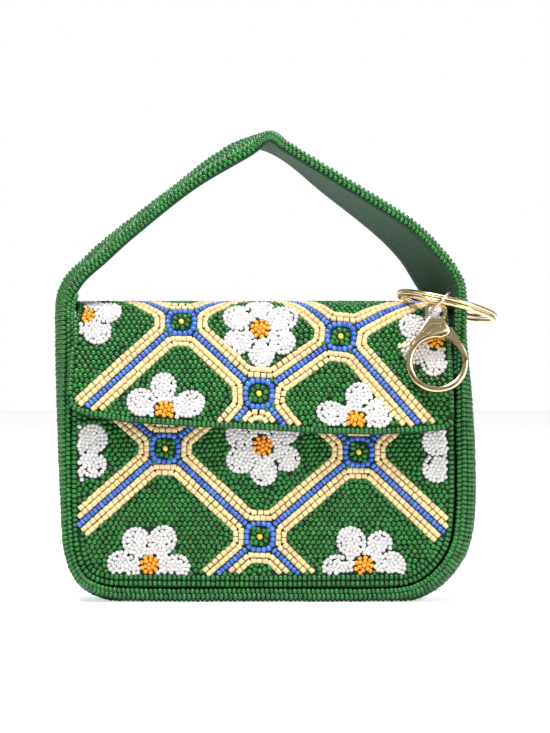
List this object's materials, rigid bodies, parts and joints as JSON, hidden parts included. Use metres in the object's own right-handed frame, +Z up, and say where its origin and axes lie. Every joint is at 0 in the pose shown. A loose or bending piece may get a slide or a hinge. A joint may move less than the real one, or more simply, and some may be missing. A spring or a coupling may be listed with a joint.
{
  "type": "beaded baguette bag",
  "caption": "Small beaded flap bag whose gusset runs on as a loop handle, with a split key ring and a lobster clasp on the foot of the handle.",
  "frame": {"origin": "middle of the flat base the bag stands on", "axes": "+Z up through the handle, the flap faces -Y, +X is to the right seen from the front, on the key ring's side"},
  "size_m": [0.1509, 0.0393, 0.1589],
  "materials": {
    "beaded_cloth": "glossy glass seed beads sewn on cloth",
    "lining_cloth": "matt plain weave",
    "gold_metal": "polished light gold plate"
  },
  "bodies": {
    "bag": {"gusset_strap": "beaded_cloth", "front_panel": "beaded_cloth", "back_panel": "beaded_cloth", "flap": "beaded_cloth", "handle_lining": "lining_cloth", "magnetic_snap": "gold_metal", "key_ring": "gold_metal", "link_ring": "gold_metal", "clasp_body": "gold_metal", "lever_pin": "gold_metal"},
    "lever": {"clasp_lever": "gold_metal"}
  },
  "joints": [
    {"name": "clasp_gate", "type": "hinge", "parent": "bag", "child": "lever", "pos_m": [0.0598, -0.01667, 0.09109], "axis": [0, 0.9763, -0.2164], "range_deg": [0, 20], "stiffness_Nm_per_rad": 0.01, "springref_deg": -17.19}
  ]
}
